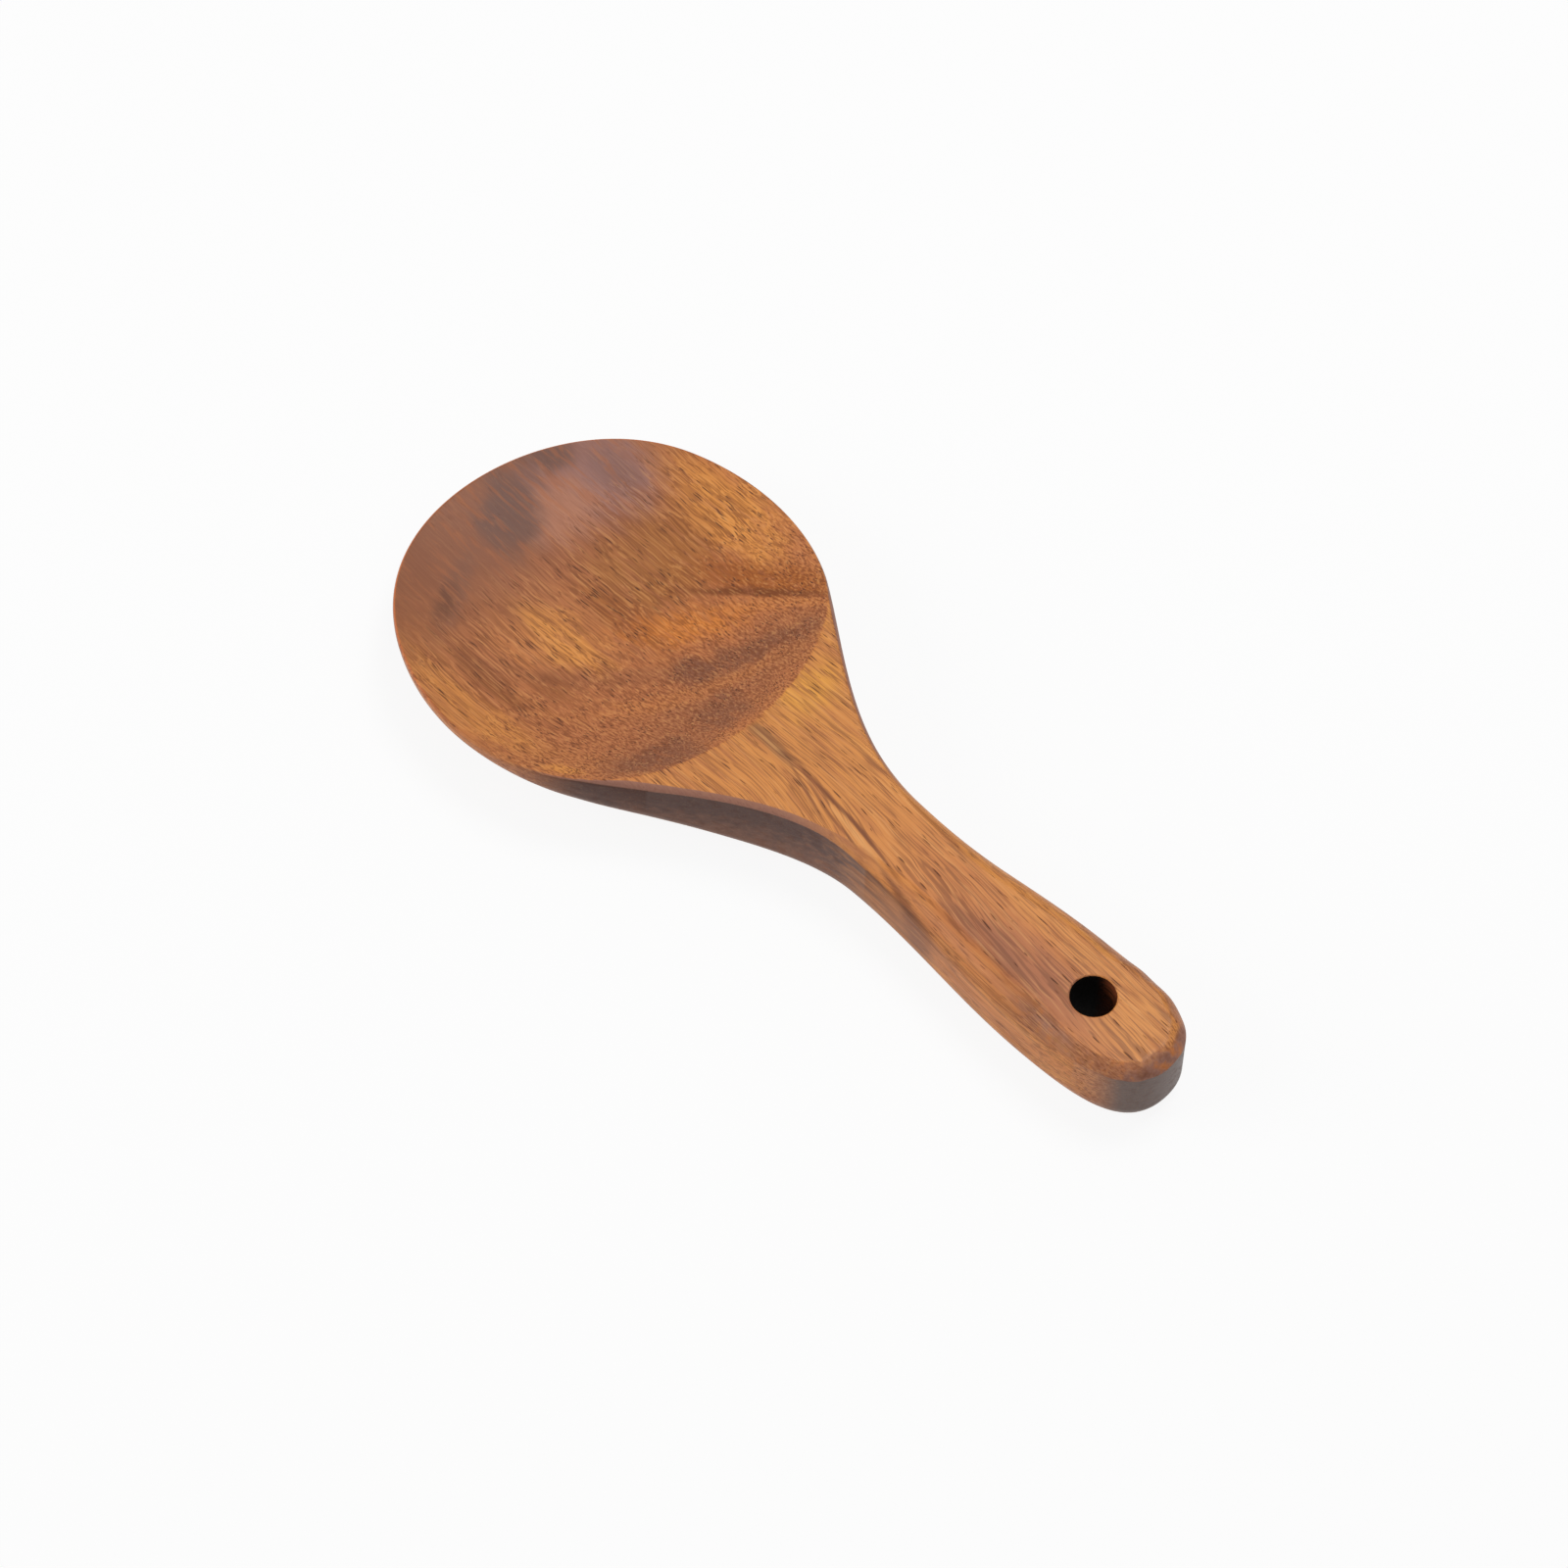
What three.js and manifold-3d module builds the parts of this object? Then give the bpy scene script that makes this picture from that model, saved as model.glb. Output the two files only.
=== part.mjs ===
// Wooden serving spoon, carved from one board: a wide shallow bowl, a neck and a flat handle with a hole.
// Millimetres, +Z up. The handle points along +X and the underside rests on Z = 0.
import * as THREE from 'three';
import { ParametricGeometry } from 'three/addons/geometries/ParametricGeometry.js';
import { mergeVertices } from 'three/addons/utils/BufferGeometryUtils.js';
import Module from 'manifold-3d';

const { clamp, degToRad, lerp, smoothstep } = THREE.MathUtils;

// Lengths along the spoon, from the tip of the bowl to the end of the handle
const bowlLength = 96;
const shoulderLength = 31.5;
const handleLength = 77.5;
const handleEndLength = 27.5;

// Widths across the spoon
const bowlWidth = 87.5;
const neckWidth = 19;
const handleWidth = 26;

// Where the round of the bowl ends and the shoulder begins, as an angle from the handle's direction
const shoulderAngle = degToRad(56);

// Board, and the hollow of the bowl: it runs out over the rim all round, and lower at the tip
const boardThickness = 18;
const hollowDepth = 11;
const hollowSetback = 5.6;
const tipOverrun = 0.5;
const sideOverrun = 6.5;
const tipDrop = 7;
const tipDropLength = 29;
const lipRise = 0.6;

// Rounded edges and the domed underside of the bowl
const rimRound = 1.5;
const gripRound = 4.8;
const rimWall = 0.6;
const footRadius = 5;

// Hanging hole
const holeDiameter = 9.4;
const holeFromEnd = 20.7;
const holeEase = 0.6;

// Places and half sizes that follow from the dimensions above
const bowlCentre = bowlLength / 2;
const shoulderX = bowlCentre + bowlCentre * Math.cos(shoulderAngle);
const neckPlace = bowlLength + shoulderLength;
const spoonLength = neckPlace + handleLength;
const handleWidest = spoonLength - handleEndLength;
const holePlace = spoonLength - holeFromEnd;
const hollowEnd = bowlLength - hollowSetback;
const hollowCentre = (hollowEnd - tipOverrun) / 2;
const hollowHalfLength = (hollowEnd + tipOverrun) / 2;
const hollowHalfWidth = bowlWidth / 2 + sideOverrun;
const hollowFloor = boardThickness - hollowDepth;

// Form of the curves, as plain ratios
const shoulderPull = 0.3;
const neckPull = 0.4;
const handlePull = 0.355;
const endFullness = 0.72;
const hollowPower = 2.3;
const hollowLift = 1.12;
const bellyPower = 1.2;
const greatestRoundShare = 0.9;

// Fineness of the facets
const outlineSteps = 160;
const roundSteps = 4;
const bellySteps = 9;
const hollowRings = 14;
const hollowSteps = 96;
const holeSteps = 40;
const cutClearance = 1;

const wasm = await Module();
wasm.setup();

// One side of the outline: round bowl, shoulder, neck, handle and the rounded end.
function makeOutlineSide() {
  const bowlHalf = bowlWidth / 2;
  const neckHalf = neckWidth / 2;
  const handleHalf = handleWidth / 2;
  const shoulderY = bowlHalf * Math.sin(shoulderAngle);
  const leave = new THREE.Vector2(bowlCentre * Math.sin(shoulderAngle), -bowlHalf * Math.cos(shoulderAngle));
  leave.normalize();
  const shoulderRun = neckPlace - shoulderX;
  const handleRun = handleWidest - neckPlace;
  const side = new THREE.Path();
  side.absellipse(bowlCentre, 0, bowlCentre, bowlHalf, Math.PI, shoulderAngle, true);
  side.bezierCurveTo(
    shoulderX + leave.x * shoulderRun * shoulderPull, shoulderY + leave.y * shoulderRun * shoulderPull,
    neckPlace - shoulderRun * neckPull, neckHalf,
    neckPlace, neckHalf,
  );
  side.bezierCurveTo(
    neckPlace + handleRun * handlePull, neckHalf,
    handleWidest - handleRun * handlePull, handleHalf,
    handleWidest, handleHalf,
  );
  side.bezierCurveTo(
    handleWidest + handleEndLength * endFullness, handleHalf,
    spoonLength, handleHalf * endFullness,
    spoonLength, 0,
  );
  return side;
}

const outlineSide = makeOutlineSide();
const outlinePoints = outlineSide.getSpacedPoints(outlineSteps / 2);

// Point of the closed outline: the first half runs from the tip along +Y, the second comes back along -Y.
function outlinePoint(share) {
  const step = Math.round(share * outlineSteps);
  const mirrored = step > outlineSteps / 2;
  const point = outlinePoints[mirrored ? outlineSteps - step : step];
  return new THREE.Vector2(point.x, mirrored ? -point.y : point.y);
}

// Height of the hollow's surface at a share of the way from its middle to its edge, in one direction.
// Its edge is level with the board's top, but falls away in a curve towards the tip of the bowl.
function hollowHeight(share, turn) {
  const edgeX = hollowCentre + hollowHalfLength * Math.cos(turn);
  const fall = Math.max(0, 1 - edgeX / tipDropLength);
  const edge = boardThickness - tipDrop * fall * fall;
  return hollowFloor + (edge - hollowFloor) * share ** hollowPower;
}

// Height of the rim over a point of the outline: a little above the hollow, up to the board's top.
function rimHeight(point) {
  const along = (point.x - hollowCentre) / hollowHalfLength;
  const across = point.y / hollowHalfWidth;
  const lip = hollowHeight(Math.hypot(along, across), Math.atan2(across, along)) + lipRise;
  return Math.min(boardThickness, lip);
}

// Place on the centre line that the edge at x is rounded towards.
function spinePlace(x) {
  const shoulderShare = clamp((x - shoulderX) / (neckPlace - shoulderX), 0, 1);
  const alongBowl = bowlCentre + (neckPlace - bowlCentre) * shoulderShare;
  return x > neckPlace ? Math.min(x, handleWidest) : alongBowl;
}

// Inset and height of one ring of the blank, from the level top, over the edge, down to the level underside.
function blankRing(ring, edge, halfSpan) {
  const grip = smoothstep(edge.x, bowlLength, neckPlace);
  const dome = 1 - smoothstep(edge.x, bowlCentre, neckPlace);
  const top = rimHeight(edge);
  const widest = halfSpan * greatestRoundShare;
  const edgeRound = Math.min(lerp(rimRound, gripRound, grip), widest, boardThickness / 2 - rimWall);
  const underReach = Math.min(lerp(gripRound, halfSpan - footRadius, dome), widest);
  const underRise = lerp(edgeRound, top - edgeRound - rimWall, dome);
  if (ring <= roundSteps) {
    const turn = (ring / roundSteps) * Math.PI / 2;
    return [edgeRound * (1 - Math.sin(turn)), top - edgeRound * (1 - Math.cos(turn))];
  }
  const turn = ((ring - roundSteps - 1) / bellySteps) * Math.PI / 2;
  const fullness = lerp(1, bellyPower, dome);
  const drawnIn = 1 - Math.max(0, Math.cos(turn)) ** fullness;
  return [underReach * drawnIn, underRise * (1 - Math.sin(turn))];
}

// The spoon before it is hollowed and drilled. Its first and last rings close onto the centre line.
function makeBlank() {
  const lastRing = roundSteps + 1 + bellySteps;
  const stacks = lastRing + 2;
  const place = (u, v, target) => {
    const edge = outlinePoint(u);
    const spine = new THREE.Vector2(spinePlace(edge.x), 0);
    const halfSpan = edge.distanceTo(spine);
    const ring = Math.round(v * stacks) - 1;
    if (ring < 0) {
      target.set(spine.x, 0, boardThickness);
    } else if (ring > lastRing) {
      target.set(spine.x, 0, 0);
    } else {
      const [inset, height] = blankRing(ring, edge, halfSpan);
      const flat = edge.lerp(spine, inset / halfSpan);
      target.set(flat.x, flat.y, height);
    }
  };
  return new ParametricGeometry(place, outlineSteps, stacks);
}

// Tool that carves the hollow: a dish that follows the lip, carried on above the top face and closed.
function makeHollowCutter() {
  const stacks = hollowRings + 1;
  const place = (u, v, target) => {
    const turn = u * 2 * Math.PI;
    const ring = Math.round(v * stacks);
    if (ring > hollowRings) {
      target.set(hollowCentre, 0, boardThickness + hollowDepth);
      return;
    }
    const share = (ring / hollowRings) * hollowLift;
    const along = hollowHalfLength * share * Math.cos(turn);
    const across = hollowHalfWidth * share * Math.sin(turn);
    target.set(hollowCentre + along, across, hollowHeight(share, turn));
  };
  return new ParametricGeometry(place, hollowSteps, stacks);
}

// Tool that drills the hanging hole and eases its two edges.
function makeHoleCutter() {
  const radius = holeDiameter / 2;
  const mouth = radius + holeEase + cutClearance;
  const profile = [
    new THREE.Vector2(0, -cutClearance),
    new THREE.Vector2(mouth, -cutClearance),
    new THREE.Vector2(radius, holeEase),
    new THREE.Vector2(radius, boardThickness - holeEase),
    new THREE.Vector2(mouth, boardThickness + cutClearance),
    new THREE.Vector2(0, boardThickness + cutClearance),
  ];
  return new THREE.LatheGeometry(profile, holeSteps).rotateX(Math.PI / 2).translate(holePlace, 0, 0);
}

// Closed geometry to a solid that can be cut.
function toSolid(geometry) {
  geometry.deleteAttribute('normal');
  geometry.deleteAttribute('uv');
  const merged = mergeVertices(geometry);
  const vertProperties = new Float32Array(merged.attributes.position.array);
  const corners = Array.from(merged.index.array);
  const triVerts = [];
  for (let i = 0; i < corners.length; i += 3) {
    const [a, b, c] = corners.slice(i, i + 3);
    if (a !== b && b !== c && c !== a) triVerts.push(a, b, c);
  }
  const mesh = new wasm.Mesh({ numProp: 3, vertProperties, triVerts: new Uint32Array(triVerts) });
  return new wasm.Manifold(mesh);
}

// Cut solid back to a geometry that can be shown.
function toGeometry(solid) {
  const { vertProperties, triVerts } = solid.getMesh();
  const geometry = new THREE.BufferGeometry();
  geometry.setAttribute('position', new THREE.BufferAttribute(new Float32Array(vertProperties), 3));
  geometry.setIndex(new THREE.BufferAttribute(new Uint32Array(triVerts), 1));
  geometry.computeVertexNormals();
  return geometry;
}

function makeSpoon() {
  const blank = toSolid(makeBlank());
  const hollowed = blank.subtract(toSolid(makeHollowCutter()));
  const drilled = hollowed.subtract(toSolid(makeHoleCutter()));
  const oiledWood = new THREE.MeshStandardMaterial({ color: 0xb87c4c, roughness: 0.45, metalness: 0 });
  const spoon = new THREE.Mesh(toGeometry(drilled), oiledWood);
  spoon.name = 'spoon';
  spoon.position.x = -spoonLength / 2;
  return spoon;
}

const servingSpoon = new THREE.Group();
servingSpoon.add(makeSpoon());

export default servingSpoon;
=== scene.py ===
import math

import bmesh
import bpy
import numpy as np
from mathutils import Matrix, Vector


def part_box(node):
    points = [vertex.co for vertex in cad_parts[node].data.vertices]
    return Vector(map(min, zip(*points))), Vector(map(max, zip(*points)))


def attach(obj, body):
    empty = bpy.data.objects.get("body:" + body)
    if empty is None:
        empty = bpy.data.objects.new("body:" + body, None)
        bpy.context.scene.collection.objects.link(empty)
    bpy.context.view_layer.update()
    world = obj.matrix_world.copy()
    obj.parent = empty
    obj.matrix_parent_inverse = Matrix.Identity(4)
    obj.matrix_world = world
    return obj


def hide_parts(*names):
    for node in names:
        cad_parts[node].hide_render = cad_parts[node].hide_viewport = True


# Wooden serving spoon: one carved piece of oiled hardwood, lying on a white table.
# Metres, +Z up. The handle points along +X and the underside rests on Z = 0.

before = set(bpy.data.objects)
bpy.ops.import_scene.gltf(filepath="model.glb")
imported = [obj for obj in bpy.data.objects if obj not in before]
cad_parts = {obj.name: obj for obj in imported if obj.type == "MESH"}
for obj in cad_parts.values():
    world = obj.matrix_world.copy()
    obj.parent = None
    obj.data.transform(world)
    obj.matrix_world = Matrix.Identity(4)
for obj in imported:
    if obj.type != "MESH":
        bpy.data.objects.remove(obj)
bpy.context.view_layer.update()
MM = 0.001

# Overall size, from the frame
spoon_low, spoon_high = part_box("spoon")
SPOON_LENGTH = spoon_high.x - spoon_low.x
BOWL_WIDTH = spoon_high.y - spoon_low.y
BOARD_THICKNESS = spoon_high.z - spoon_low.z

# Lengths along the spoon, from the tip of the bowl, and widths across it
BOWL_LENGTH = 96 * MM
SHOULDER_LENGTH = 31.5 * MM
HANDLE_END_LENGTH = 27.5 * MM
NECK_WIDTH = 19 * MM
HANDLE_WIDTH = 26 * MM
SHOULDER_ANGLE = math.radians(56)

# Hollow of the bowl: it runs out over the rim all round, and lower at the tip
HOLLOW_DEPTH = 11 * MM
HOLLOW_SETBACK = 5.6 * MM
TIP_OVERRUN = 0.5 * MM
SIDE_OVERRUN = 6.5 * MM
TIP_DROP = 7 * MM
TIP_DROP_LENGTH = 29 * MM
LIP_RISE = 0.6 * MM

# Rounded edges, the domed underside of the bowl, and the sanded crease round the hollow
RIM_ROUND = 1.5 * MM
NECK_ROUND = 1.3 * MM
GRIP_ROUND = 4.8 * MM
END_ROUND = 3.6 * MM
GRIP_ROUND_BEFORE_NECK = 12 * MM
GRIP_ROUND_PAST_NECK = 24 * MM
END_ROUND_START = 28 * MM
END_ROUND_FULL = 9 * MM
START_TURN = math.radians(12)
FULL_TURN = math.radians(90)
ARRIS_TURN = math.radians(58)
EDGE_WOBBLE = 0.05
SHORT_WAVE = 1.1 * MM
LONG_WAVE = 1.9 * MM
WAVE_SLANT = 1.7
RIM_WALL = 0.6 * MM
FOOT_RADIUS = 5 * MM
CREASE_SOFTNESS = 0.4 * MM

# Hanging hole, its place measured from the middle of the spoon
HOLE_DIAMETER = 9.4 * MM
HOLE_FROM_END = 20.7 * MM
HOLE_PLACE = SPOON_LENGTH / 2 - HOLE_FROM_END
HOLE_EASE = 0.4 * MM
HOLE_EASE_TURN = math.radians(80)
BORE_MARGIN = 0.1 * HOLE_EASE

# Places that follow from the sizes above, measured from the tip of the bowl
BOWL_CENTRE = BOWL_LENGTH / 2
SHOULDER_X = BOWL_CENTRE + BOWL_CENTRE * math.cos(SHOULDER_ANGLE)
NECK_PLACE = BOWL_LENGTH + SHOULDER_LENGTH
HANDLE_WIDEST = SPOON_LENGTH - HANDLE_END_LENGTH
HOLLOW_END = BOWL_LENGTH - HOLLOW_SETBACK
HOLLOW_CENTRE = (HOLLOW_END - TIP_OVERRUN) / 2
HOLLOW_HALF_LENGTH = (HOLLOW_END + TIP_OVERRUN) / 2
HOLLOW_HALF_WIDTH = BOWL_WIDTH / 2 + SIDE_OVERRUN
HOLLOW_FLOOR = BOARD_THICKNESS - HOLLOW_DEPTH

# Form of the curves, as plain ratios
SHOULDER_PULL = 0.3
NECK_PULL = 0.4
HANDLE_PULL = 0.355
END_FULLNESS = 0.72
HOLLOW_POWER = 2.3
BELLY_POWER = 1.2
GREATEST_ROUND_SHARE = 0.9
NECK_CREASE_SHARE = 0.5
LEAST_CREASE_SHARE = 0.12
GREATEST_CREASE_SHARE = 0.97

# Fineness of the surface: steps and rings, then the limits for welding points and for a sharp edge
CURVE_STEPS = 400
OUTLINE_STEPS = 640
HOLLOW_RINGS = 46
SHELF_RINGS = 30
ROUND_RINGS = 10
BELLY_RINGS = 26
HOLE_STEPS = 96
EASE_STEPS = 8
RING_CROWDING = 1.5
LEAST_SHARE = 1e-9
WELD_DISTANCE = 1e-7
LEAST_EDGE = 1e-8
SHARP_ANGLE = math.radians(22)

# Colours of the wood, as they look under even white light, and some colours of painted light and shade,
# noted where they stand
BRIGHT_GOLD = (230, 160, 62)
GOLD = (218, 144, 70)
TAN = (204, 128, 68)
PALE = (232, 170, 104)
UMBER = (162, 102, 50)
ORANGE = (206, 124, 54)
SIENNA = (156, 86, 34)
RED_TAN = (172, 104, 66)
RED_BROWN = (136, 84, 60)
PLUM = (124, 78, 58)
SMOKE = (108, 78, 68)
HAZE = (152, 113, 106)
# Painted sheen: the soft reflection of the key light on the bowl's tip, put into the colour
SHEEN_ROSE = (178, 120, 92)
OLIVE = (150, 108, 68)
LINE_BROWN = (118, 64, 32)
PORE = (78, 42, 26)
# Painted reflection: the grey sheen of the rounded edges at the neck, also one of the colours of the worn
# end
EDGE_SHEEN_GREY = (144, 104, 92)
EDGE_PLUM = (112, 70, 56)
EDGE_RUST = (186, 112, 60)
# Painted highlight: the orange red line of light along the rim at the bowl's tip
RIM_HIGHLIGHT = (196, 108, 56)
# The upper wall is dark from end grain and from painted shade under the rounded edge; warmer below
WALL_DARK = (78, 46, 36)
WALL_WARM = (120, 78, 58)
# Painted reflection: the grey of the light seen in the wall at the handle's end
WALL_REFLECTION_GREY = (108, 88, 80)
# Painted shade: the near black inside the hole, and the warmer colour of its painted lit side
BORE_SHADE = (14, 10, 8)
BORE_LIT_WARM = (128, 66, 38)

# Direction of the grain: in the bowl it falls a little towards the handle. Beyond the bowl it runs level,
# sweeps out on the near side of the neck and drifts that way along the handle. Lengths from here down to
# the dashes are in millimetres.
GRAIN_SKEW = -0.03
GRAIN_RISE = -0.06
FALL_END = -10
FALL_EASE = 12
DRIFT_START = 12
DRIFT_EASE = 16
DRIFT = 0.075
SWEEP_SIDE = (2, -9)
SWEEP_ZONE = (-4, 26)
SWEEP = 4.5

# Unevenness of the grain: a slow wander and a quick ripple. Both go deeper in the bowl, and the ripple is
# greater there.
WOOD_WANDER = 1.8
BORE_WANDER = 1.2
WANDER_CELL = (24, 8, 8)
RIPPLE_CELL = (6, 3, 3)
RIPPLE_ZONE = (-10, -30)
RIPPLE_GAIN = 0.7
LEAST_RIPPLE = 0.2
DEPTH_ZONE = (-8, -22)
DEPTH_GAIN = 0.8
LEAST_DEPTH = 0.2

# Size of each mark in the wood: along the grain, across it and in depth
RING_CELL = (80, 22, 2.4)
RING_LEAN = -0.35
FINE_CELL = (16, 0.38, 0.38)
THIN_CELL = (18, 0.3, 0.3)
MOTTLE_CELL = (11, 1.2, 1.2)
CROWD_CELL = (16, 3.5, 3.5)
STRAND_CELL = (40, 0.7, 0.7)
BREAK_CELL = (9, 0.8, 0.8)
PORE_CELL = (7, 0.42, 0.42)
RAGGED_CELL = (9, 3, 3)
WALL_CELL = (14, 1.5, 1.5)
WORN_CELL = (2.6, 2.6, 2.6)
FIBRE_CELL = (9, 0.8, 0.8)

# Tones between which each mark sets in, and the zones along the spoon where the wood is straight or calm
JAGGED = 0.25
CUT_TONE = (0.08, 0.32)
MOTTLE_TONE = (0.5, 0.66)
PALE_TONE = (0.46, 0.34)
CROWD_TONE = (0.36, 0.62)
THIN_TONE = (0.5, 0.57)
BROAD_TONE = (0.51, 0.58)
VESSEL_TONE = (0.055, 0.018)
UNBROKEN_TONE = (0.42, 0.52)
STRAIGHT_ZONE = (-18, -8)
CALM_ZONE = (-70, -86)
PALETTE_START = 0.3
PALETTE_RUN = 0.4

# Strength of each mark
CUT_RED = 0.5
MOTTLE_RED = 0.4
PALE_FIBRES = 0.25
THIN_LINES = 0.85
VESSEL_LINES = 0.6
LEAST_SPECKS = 0.16
CROWDED_SPECKS = 0.48
PORE_DARKNESS = 0.85
CALM_SMOOTH = 0.8
CALM_TIP = 0.8

# Pores: their greatest radius as a share of a cell, and how it grows or shrinks with the place
PORE_RADIUS = 0.48
SMALLEST_RADIUS = 0.001
PORE_TINT = (0.1, 0.8)
PORE_EDGE = (0.0, 0.5)
LEAST_PORE = 0.42
CROWDED_PORE = 0.4
CUT_PORE = -0.1
STRAIGHT_PORE = -0.25

# Worn edges, painted sheen and highlight on the rounded edges, and dark walls partly of painted shade: where
# they set in along the spoon, across it, in height or by the way they face
WALL_START = (-45, -25)
WALL_END = (60, 12)
WALL_RAGGED = 40
WALL_STREAKS = -12
WALL_HEIGHT = (14.5, 4)
# Where the painted grey reflection on the handle's end wall sets in
WALL_REFLECTION_ZONE = (70, 94)
WALL_FACING = (0.5, 0.3)
# The wall on the near side, away from the key light, takes more of the painted shade than the far side
NEAR_SIDE = (6, -6)
NEAR_WALL = 0.65
LEAST_WALL = 0.35
END_ZONE = (80, 96)
END_FACING = (0.1, 0.6)
FAR_SIDE = (-2, 2)
FAR_HOLD = -0.25
UPPER_FACING = (0.1, 0.4)
EDGE_FACING = (0.12, 0.28)
# Where the painted grey sheen lies on the neck's rounding, and how strong it is
EDGE_SHEEN_ZONE = (36, 6)
EDGE_SHEEN_STRENGTH = 0.85
# Where the painted highlight on the tip's rim lies, and how strong it is
RIM_FACING = (0.02, 0.15)
RIM_ZONE = (-50, -66)
RIM_HIGHLIGHT_STRENGTH = 0.8
WORN_ZONE = (64, 80)
WORN_GRIP = 0.45
WORN_END = 0.85

# Patches of figure: how ragged they are for their half width, and the heights between which they set in
RAGGED_SHARE = 1.6
GREATEST_RAGGED = 9
FIGURE_HEIGHT = (1, 6)

# Figure of the wood, as soft patches on the upper side, and among them a painted sheen and patches of
# painted
# shade: name, colour, where it shows (on the slopes that cut the grain, on the level wood or on both), place
# along and across the spoon, half length, half width, turn in degrees, bend of the long axis, strength
FIGURE = (
    ("bowl", RED_TAN, "both", -56, -2, 44, 46, 0, 0, 0.75),
    # Partly end grain and partly painted shade: the slope of the hollow towards the neck faces away from the
    # light
    ("far_slope", RED_BROWN, "slope", -24, 3, 10, 32, 0, 0, 0.55),
    ("floor", UMBER, "both", -61, 17, 13, 17, 0, 0, 0.85),
    ("far_rim_gold", GOLD, "both", -56, 36.5, 17, 6.5, -4, 0.007, 0.9),
    ("near_rim_gold", GOLD, "both", -58, -38, 20, 4.5, 2, -0.007, 0.6),
    ("low_slope", RED_TAN, "both", -35, -22, 16, 11, 25, 0, 0.3),
    ("ring_band", SIENNA, "both", -38, 29.5, 16, 4, 20, 0.003, 0.85),
    ("gold_arc", ORANGE, "both", -44, 10, 15, 4.6, 52, -0.003, 0.9),
    ("floor_gold", GOLD, "both", -61, -9.5, 13, 5.5, 4, 0, 0.95),
    ("near_floor", TAN, "both", -67, -18, 9, 4, 0, 0, 0.6),
    ("dark_arc", PLUM, "both", -39, -3, 33, 3, 50, -0.004, 0.3),
    ("light_arc", TAN, "both", -30, -3, 26, 2.4, 62, -0.005, 0.35),
    ("tip", RED_BROWN, "both", -99, -2, 26, 70, 0, 0, 0.92),
    ("far_tip", HAZE, "both", -80, 26, 10, 9, 20, 0, 0.8),
    ("tip_haze", HAZE, "both", -88, 19, 11, 14, 0, 0, 0.7),
    # Painted sheen on the tip of the bowl
    ("sheen", SHEEN_ROSE, "both", -83, 13, 8, 8, -20, 0, 0.8),
    ("tip_smoke", SMOKE, "both", -91, 5, 11, 7, -45, 0, 0.85),
    ("rim_smoke", SMOKE, "both", -95, 20, 6, 4, 50, 0, 0.8),
    ("far_smoke", SMOKE, "both", -82, 27, 7, 4, 15, 0, 0.3),
    ("tip_streak", SMOKE, "both", -83, -19, 13, 3, -58, 0, 0.35),
    ("streak_core", PORE, "both", -83, -21, 5, 2.2, -55, 0, 0.4),
    ("ring_purple", PLUM, "both", -26, 17, 13, 4, 58, 0, 0.7),
    ("knot", PLUM, "both", -33, 4, 6, 4, 25, 0, 0.85),
    # The next two: plum figure with painted shade in the crease at the neck end of the hollow
    ("crease_plum", PLUM, "slope", -20, -2, 5, 6, 0, 0, 0.7),
    ("near_crease_plum", PLUM, "slope", -20, -20, 5, 10, -28, 0, 0.85),
    ("middle_dashes", SIENNA, "both", -55, 3.5, 12, 3.5, 0, 0, 0.5),
    ("near_dashes", LINE_BROWN, "both", -62, -28.5, 13, 2.6, -2, 0, 0.5),
    ("low_dark", LINE_BROWN, "both", -52, -20, 5, 4, 20, 0, 0.4),
    ("ring_line", LINE_BROWN, "both", -38, 26, 17, 1.1, 31, 0.006, 0.9),
    ("under_ring", TAN, "both", -30, 27.2, 9, 1.4, 31, 0.004, 0.5),
    ("near_rim_strip", GOLD, "both", -32, -35.5, 5, 1.4, 28, 0, 0.8),
    ("far_rim_strip", GOLD, "level", -19, 27.5, 6, 2.2, -38, 0, 0.7),
    ("neck", GOLD, "level", 6, 0, 30, 40, 0, 0, 0.6),
    ("neck_gold", BRIGHT_GOLD, "level", -9, 13, 6, 8, 0, 0, 0.7),
    ("neck_olive", OLIVE, "level", -6, -2.2, 8, 1.4, -3, 0, 0.7),
    ("neck_swirl", PORE, "level", -1, -2, 2.4, 0.8, 15, 0, 0.5),
    ("neck_vein", LINE_BROWN, "level", 19, -4, 17, 0.5, -8.6, 0.0035, 0.9),
    ("middle_vein", LINE_BROWN, "level", 14, -5.8, 12, 0.4, -15, -0.006, 0.7),
    ("low_vein", LINE_BROWN, "level", 9, -5.9, 9, 0.4, -19.4, -0.002, 0.7),
    ("pale_vein", PALE, "level", 22, -6.0, 10, 0.6, -11, 0, 0.5),
    ("handle_red", RED_TAN, "both", 68, -4.6, 22, 5.8, -2, 0, 0.9),
    ("handle_plum", RED_BROWN, "both", 60, -5.5, 13, 3, -4, 0, 0.4),
    ("handle_gold", GOLD, "both", 60, 7.5, 40, 3.4, -2, 0, 0.7),
    ("end_gold", GOLD, "both", 92, 1.5, 9, 7, 0, 0, 0.75),
    ("grip_plum", PLUM, "both", 77, -11, 7, 1.2, 0, 0, 0.5),
    ("edge_line", LINE_BROWN, "both", 40, -9.6, 9, 0.6, -11, 0, 0.75),
    ("end_rim", PLUM, "both", 103, 0, 3, 14, 0, 0, 0.3),
)

# Bands of the bowl where the dark dashes crowd together: name, place along and across the spoon,
# half length, half width
DASHES = (
    ("near_crowd", -60, -27.5, 15, 4),
    ("middle_crowd", -58, 5, 12, 4),
    ("ring_crowd", -53, 16, 5, 5),
    ("far_crowd", -55, 34.5, 12, 4),
)

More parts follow.
